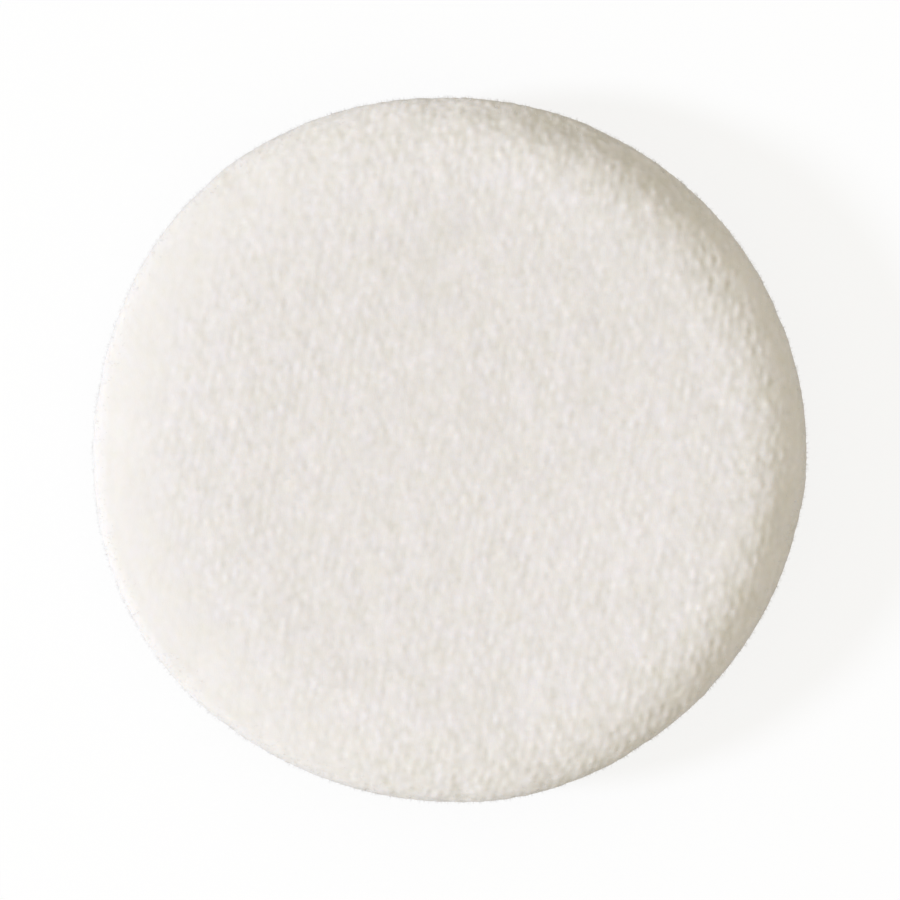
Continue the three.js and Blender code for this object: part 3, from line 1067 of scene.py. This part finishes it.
def make_cover(name, crown, side):
    """Cut a velour cover, lay it over its half of the puff, and raise its pile and its loose fibres."""
    scene = bpy.context.scene
    pile, colours = scene.puff_pile, scene.puff_colours
    cover = VelourCover(scene, crown, side)
    section = cover.section
    piece = new_piece(name, cut_cloth(pile, section, cover.sizes), velour_material(name, colours))
    mesh = piece.data
    flat = read_points(mesh)[:, :2]
    depth = np.empty(len(flat), dtype=np.float32)
    mesh.attributes["depth"].data.foreach_get("value", depth)
    tufts, strays = tuft_heights(flat + side * np.array(LATTICE_SHIFT), pile)
    standing = cover.piled(flat)
    if side < 0:
        standing *= 1 - cover.under_ribbon(flat)
    # On the front the nap follows the light: the tufts' painted light and shade are fainter on the lit
    # shoulder and stronger on the shaded one
    nap_and_painted_contrast = pile_nap_and_painted_contrast(flat, section) if side > 0 else PLAIN_NAP
    raised = standing * nap_and_painted_contrast * (pile.tuft_height * (tufts - MIDDLE_TUFT) + pile.stray_height * strays)
    write_points(mesh, cover.place(flat, np.where(depth > 0, -depth, raised)))
    if side < 0:
        mesh.flip_normals()
    # Painted shade in the furrows and painted light on the tufts, scaled by the nap, so on the front fainter
    # on the lit shoulder and stronger on the shaded one
    tone_with_painted_light = MIDDLE_LIGHTNESS + TUFT_CONTRAST * nap_and_painted_contrast * (tufts - MIDDLE_TUFT + STRAY_CONTRAST * strays)
    # Painted light and shade on the front, for its bumps, creases and the lit and shaded rim
    if side > 0:
        tone_with_painted_light += painted_light_and_shade_at(section.lay(flat, np.zeros(len(flat)))[:, :2])
    # Share of the painted rim tint, which stands in for the colour of the rim's light and shade
    painted_rim_tint = smooth_step(distance_of(flat) - section.face_end, *PAINTED_RIM_TINT_SPAN)
    keep_attribute(mesh, "flat", np.column_stack([flat / MM, np.full(len(flat), PATTERN_STEP * side)]))
    keep_attribute(mesh, "pile", tone_with_painted_light)
    keep_attribute(mesh, "painted_rim_tint", painted_rim_tint)
    mesh.attributes.remove(mesh.attributes["depth"])
    fibres = make_fibres(name + "_fibres", cover, colours)
    return piece


class PUFF_OT_covers(bpy.types.Operator):
    """Make the front and back covers of velour"""

    bl_idname = "puff.covers"
    bl_label = "Velour Covers"

    def execute(self, context):
        front = make_cover("front_velour", context.scene.puff_sizes.crown, 1)
        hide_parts("front_cover")
        back = make_cover("back_velour", 0, -1)
        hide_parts("back_cover")
        return {"FINISHED"}


class PUFF_OT_foam(bpy.types.Operator):
    """Make the foam pad that fills the covers"""

    bl_idname = "puff.foam"
    bl_label = "Foam Pad"

    def execute(self, context):
        scene = context.scene
        sizes = scene.puff_sizes
        low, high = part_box("foam_core")
        depth = sizes.velour_thickness + sizes.foam_clearance
        groove_floor = PUFF_RADIUS - depth - sizes.seam_allowance - FOAM_GROOVE_ROOM
        groove_edge = SEAM_HEIGHT + FOAM_GROOVE_HALF
        shoulder_run = sizes.shoulder_run - depth
        shoulder_foot = groove_edge + FOAM_LIP
        shoulder_top = high.z - FOAM_EDGE_DROP
        line = [(0, high.z), (FOAM_FLAT_SHARE * high.x, shoulder_top)]
        for turn in np.linspace(0, FOAM_TURN, FOAM_TURN_POINTS):
            line.append((high.x - shoulder_run * (1 - math.sin(turn)),
                         shoulder_foot + (shoulder_top - shoulder_foot) * math.cos(turn)))
        line += [(high.x - FOAM_LIP_INSET, groove_edge), (groove_floor, groove_edge)]
        line += [(r, 2 * SEAM_HEIGHT - z) for r, z in reversed(line)]
        pad = spun([(r, max(z, low.z)) for r, z in line], FOAM_SIDES, MERGE)
        piece = new_piece("foam_pad", pad, foam_material("foam", scene.puff_colours))
        write_points(piece.data, by_hand(read_points(piece.data)))
        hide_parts("foam_core")
        return {"FINISHED"}


def lay_ribbon(points, section, half_width):
    """Lay a flat ribbon's points across the back and up into the seam. The edge is 1 on the selvedges."""
    flat = points[:, :2]
    through = points[:, 2] - (points[:, 2].max() + points[:, 2].min()) / 2
    lateral = np.abs(flat[:, 1])
    face_edge = np.sqrt(section.face_end ** 2 - lateral ** 2)
    beyond = np.maximum(np.abs(flat[:, 0]) - face_edge, 0)
    on_face = np.abs(flat[:, 0]) < face_edge
    distance = np.minimum(section.face_end + beyond, section.cut_radius)
    lift = ribbon_lift(section, np.where(on_face, distance_of(flat), distance))
    sway = RIBBON_WAVE_SWAY * np.sin(flat[:, 1] / RIBBON_SWAY_RUN)
    ripple = np.sin(flat[:, 0] / RIBBON_WAVE_RUN + sway)
    lift += RIBBON_WAVE * ripple * on_face
    started = smooth_step(beyond, *GATHER_STARTS)
    ended = smooth_step(distance, section.rim - GATHER_SHORT, section.fold_end - GATHER_SHORT)
    plain = smooth_step(lateral, half_width - PLAIN_EDGE[0], half_width - PLAIN_EDGE[1])
    gathered = started * (1 - ended) * (1 - plain)
    pleats = soft_noise(flat[:, 1], flat[:, 0] / PLEAT_STRETCH, RIBBON_PLEAT, PLEAT_SEED)
    lift += RIBBON_GATHER * (0.5 + 0.5 * pleats) * gathered
    r, z, out_r, out_z = section.at(distance)
    turned_up = np.sign(flat[:, 0]) * np.sqrt(np.maximum(r ** 2 - lateral ** 2, 0))
    spread = np.column_stack([np.where(on_face, flat[:, 0], turned_up), flat[:, 1]])
    edge = smooth_step(lateral, half_width - SELVEDGE_EDGE[0], half_width - SELVEDGE_EDGE[1])
    offset = lift + through * (1 + SELVEDGE_SHARE * edge)
    sideways = heading_of(spread) * (np.where(on_face, 0, out_r) * offset)[:, None]
    laid = by_hand(np.column_stack([spread + sideways, -(z + np.where(on_face, 1, out_z) * offset)]))
    laid[:, 2] += SEAM_HEIGHT
    return laid, edge


class PUFF_OT_ribbon(bpy.types.Operator):
    """Make the satin finger ribbon across the back"""

    bl_idname = "puff.ribbon"
    bl_label = "Finger Ribbon"

    def execute(self, context):
        scene = context.scene
        sizes = scene.puff_sizes
        section = CoverSection(sizes, 0)
        half_width = RIBBON_HIGH.y
        reach = section.cut_radius - RIBBON_TRIM
        strip = bmesh.new()
        bmesh.ops.create_grid(strip, x_segments=RIBBON_GRID[0], y_segments=RIBBON_GRID[1], size=1)
        bmesh.ops.scale(strip, vec=(reach, half_width, 1), verts=strip.verts)
        bmesh.ops.solidify(strip, geom=strip.faces, thickness=sizes.ribbon_thickness)
        bmesh.ops.recalc_face_normals(strip, faces=strip.faces)
        piece = new_piece("satin_ribbon", strip, satin_material("satin", scene.puff_colours))
        mesh = piece.data
        points = read_points(mesh)
        laid, edge = lay_ribbon(points, section, half_width)
        write_points(mesh, laid)
        mesh.flip_normals()
        keep_attribute(mesh, "flat", np.column_stack([points[:, :2] / MM, np.zeros(len(points))]))
        keep_attribute(mesh, "selvedge", edge)
        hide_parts("finger_ribbon")
        return {"FINISHED"}


def squared_off(wave):
    """A wave drawn out towards a square one, as a thread turns corners."""
    return np.sign(wave) * np.abs(wave) ** STITCH_CORNERING


def stitch_route(near, far, height, start, sweep, stitches):
    """Points along a run of stitches: loops round the seam that advance along it."""
    t = np.linspace(0, 1, stitches * STITCH_POINTS + 1)
    turn = 2 * math.pi * stitches * t
    bearing = start + sweep * (t + np.sin(turn) / (2 * math.pi * stitches))
    r = (near + far) / 2 - (near - far) / 2 * squared_off(np.cos(turn))
    return np.column_stack([r * np.cos(bearing), r * np.sin(bearing), -height * squared_off(np.sin(turn))])


def make_thread(name, node, route, sizes, colours):
    """Wind a twisted thread along a route, and turn it into a mesh."""
    placed = by_hand(route)
    placed[:, 2] += SEAM_HEIGHT
    thread = drawn_strands(name, [placed], sizes.thread_diameter, roundness=2, merge=MERGE)
    piece = new_piece(name, thread, thread_material(name, colours))
    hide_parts(node)


class PUFF_OT_threads(bpy.types.Operator):
    """Make the machine seam's thread and the hand-sewn closing thread"""

    bl_idname = "puff.threads"
    bl_label = "Sewing Threads"

    def execute(self, context):
        scene = context.scene
        sizes = scene.puff_sizes
        section = CoverSection(sizes, 0)
        seam_line = section.fold_line - NEEDLE_INSET
        half_gap = sizes.turning_gap / 2 / seam_line
        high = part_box("seam_thread")[1]
        slack = high.z - SEAM_HEIGHT - sizes.thread_diameter / 2
        seam_sweep = 2 * math.pi - 2 * half_gap
        seam_stitches = round(seam_sweep * seam_line / sizes.stitch_length)
        route = stitch_route(seam_line, section.raw_edge - OVERCAST_REACH, slack, half_gap - math.pi / 2,
                             seam_sweep, seam_stitches)
        make_thread("seam_sewing", "seam_thread", route, sizes, scene.puff_colours)
        closing_stitches = round(2 * half_gap * seam_line / sizes.stitch_length)
        route = stitch_route(seam_line, PUFF_RADIUS - SLIP_DEPTH, SLIP_HEIGHT, -half_gap - math.pi / 2,
                             2 * half_gap, closing_stitches)
        make_thread("closing_sewing", "closing_thread", route, sizes, scene.puff_colours)
        return {"FINISHED"}


def seen_ray(path):
    """1 for a ray by which the camera sees, straight, mirrored or through glass, and 0 for others."""
    return path["Is Camera Ray"].larger(path["Is Glossy Ray"].larger(path["Is Transmission Ray"]))


def mixed(tree, share, first, second):
    """A shader that goes from the first to the second as the share goes from 0 to 1."""
    return add_node(tree, "ShaderNodeMixShader", sockets={0: share, 1: first, 2: second})["Shader"]


def floor_material(studio):
    """A pale floor that keeps the puff's shadow, white to the camera.

    It is open from below, and to the back that lies on it, so that the back can be seen from there.
    """
    material = new_material("pale_floor")
    tree = material.node_tree
    path = add_node(tree, "ShaderNodeLightPath")
    plain = add_node(tree, "ShaderNodeBsdfDiffuse", sockets={"Color": opaque(studio.floor_colour)})["BSDF"]
    shaded = add_node(tree, "ShaderNodeBsdfDiffuse", sockets={"Color": WHITE})["BSDF"]
    white = add_node(tree, "ShaderNodeEmission", sockets={"Color": WHITE, "Strength": 1.0})["Emission"]
    top = mixed(tree, seen_ray(path), plain, mixed(tree, studio.shadow_depth, white, shaded))
    below = add_node(tree, "ShaderNodeNewGeometry")["Backfacing"]
    clear = add_node(tree, "ShaderNodeBsdfTransparent")["BSDF"]
    either = mixed(tree, below.larger(path["Ray Length"] < studio.lit_gap), top, clear)
    add_node(tree, "ShaderNodeOutputMaterial", sockets={"Surface": either})
    return material


def light_world(studio):
    """Warm light from all round, with white behind everything that the camera sees."""
    world = bpy.data.worlds.new("studio")
    world.use_nodes = True
    tree = world.node_tree
    tree.nodes.clear()
    path = add_node(tree, "ShaderNodeLightPath")
    ambient = add_node(tree, "ShaderNodeBackground", sockets={
        "Color": opaque(studio.ambient_colour), "Strength": studio.ambient_strength})["Background"]
    white = add_node(tree, "ShaderNodeBackground", sockets={"Color": WHITE, "Strength": 1.0})["Background"]
    add_node(tree, "ShaderNodeOutputWorld", sockets={"Surface": mixed(tree, seen_ray(path), ambient, white)})
    bpy.context.scene.world = world


class PUFF_OT_stage(bpy.types.Operator):
    """Set up the pale floor, the light and the camera"""

    bl_idname = "puff.stage"
    bl_label = "Studio Stage"

    def execute(self, context):
        scene = context.scene
        studio = scene.puff_studio
        scene.view_settings.view_transform = "Standard"
        ground = bmesh.new()
        bmesh.ops.create_circle(ground, cap_ends=True, segments=FLOOR_SIDES, radius=studio.floor_radius)
        mesh = bpy.data.meshes.new("floor")
        ground.to_mesh(mesh)
        ground.free()
        mesh.materials.append(floor_material(studio))
        floor = bpy.data.objects.new("floor", mesh)
        scene.collection.objects.link(floor)
        light_world(studio)

        lamp = bpy.data.lights.new("key_lamp", "AREA")
        lamp.shape = "DISK"
        lamp.size = studio.key_size
        lamp.color = studio.key_colour
        lamp.energy = studio.key_strength * math.pi ** 2 * studio.key_distance ** 2
        key = bpy.data.objects.new("key_lamp", lamp)
        scene.collection.objects.link(key)
        towards = Vector((math.cos(studio.key_elevation) * math.cos(studio.key_bearing),
                          math.cos(studio.key_elevation) * math.sin(studio.key_bearing),
                          math.sin(studio.key_elevation)))
        key.location = towards * studio.key_distance
        key.rotation_euler = towards.to_track_quat("Z", "Y").to_euler()

        lens = bpy.data.cameras.new("camera")
        lens.lens = studio.lens
        camera = bpy.data.objects.new("camera", lens)
        scene.collection.objects.link(camera)
        height = studio.frame_width * studio.lens / lens.sensor_width
        camera.location = (*studio.camera_offset, SEAM_HEIGHT + FRAMED_HEIGHT + height)
        scene.camera = camera
        return {"FINISHED"}


class PUFF_PT_panel(bpy.types.Panel):
    """The puff's pieces and sizes, in the sidebar"""

    bl_idname = "PUFF_PT_panel"
    bl_label = "Powder Puff"
    bl_space_type = "VIEW_3D"
    bl_region_type = "UI"
    bl_category = "Puff"

    def draw(self, context):
        for operator in OPERATORS:
            self.layout.operator(operator.bl_idname)
        for group in GROUPS:
            box = self.layout.box()
            values = getattr(context.scene, group)
            for name in values.bl_rna.properties.keys():
                if name not in ("rna_type", "name"):
                    box.prop(values, name)


GROUPS = {
    "puff_sizes": PuffSizes,
    "puff_pile": VelourPile,
    "puff_colours": PuffColours,
    "puff_studio": PuffStudio,
}
OPERATORS = (PUFF_OT_covers, PUFF_OT_foam, PUFF_OT_ribbon, PUFF_OT_threads, PUFF_OT_stage)


def register():
    for name, group in GROUPS.items():
        bpy.utils.register_class(group)
        setattr(bpy.types.Scene, name, bpy.props.PointerProperty(type=group))
    for operator in OPERATORS:
        bpy.utils.register_class(operator)
    bpy.utils.register_class(PUFF_PT_panel)


def unregister():
    bpy.utils.unregister_class(PUFF_PT_panel)
    for operator in reversed(OPERATORS):
        bpy.utils.unregister_class(operator)
    for name, group in reversed(GROUPS.items()):
        delattr(bpy.types.Scene, name)
        bpy.utils.unregister_class(group)


def main():
    register()
    bpy.ops.puff.stage()
    bpy.ops.puff.covers()
    bpy.ops.puff.foam()
    bpy.ops.puff.ribbon()
    bpy.ops.puff.threads()


if __name__ == "__main__":
    main()
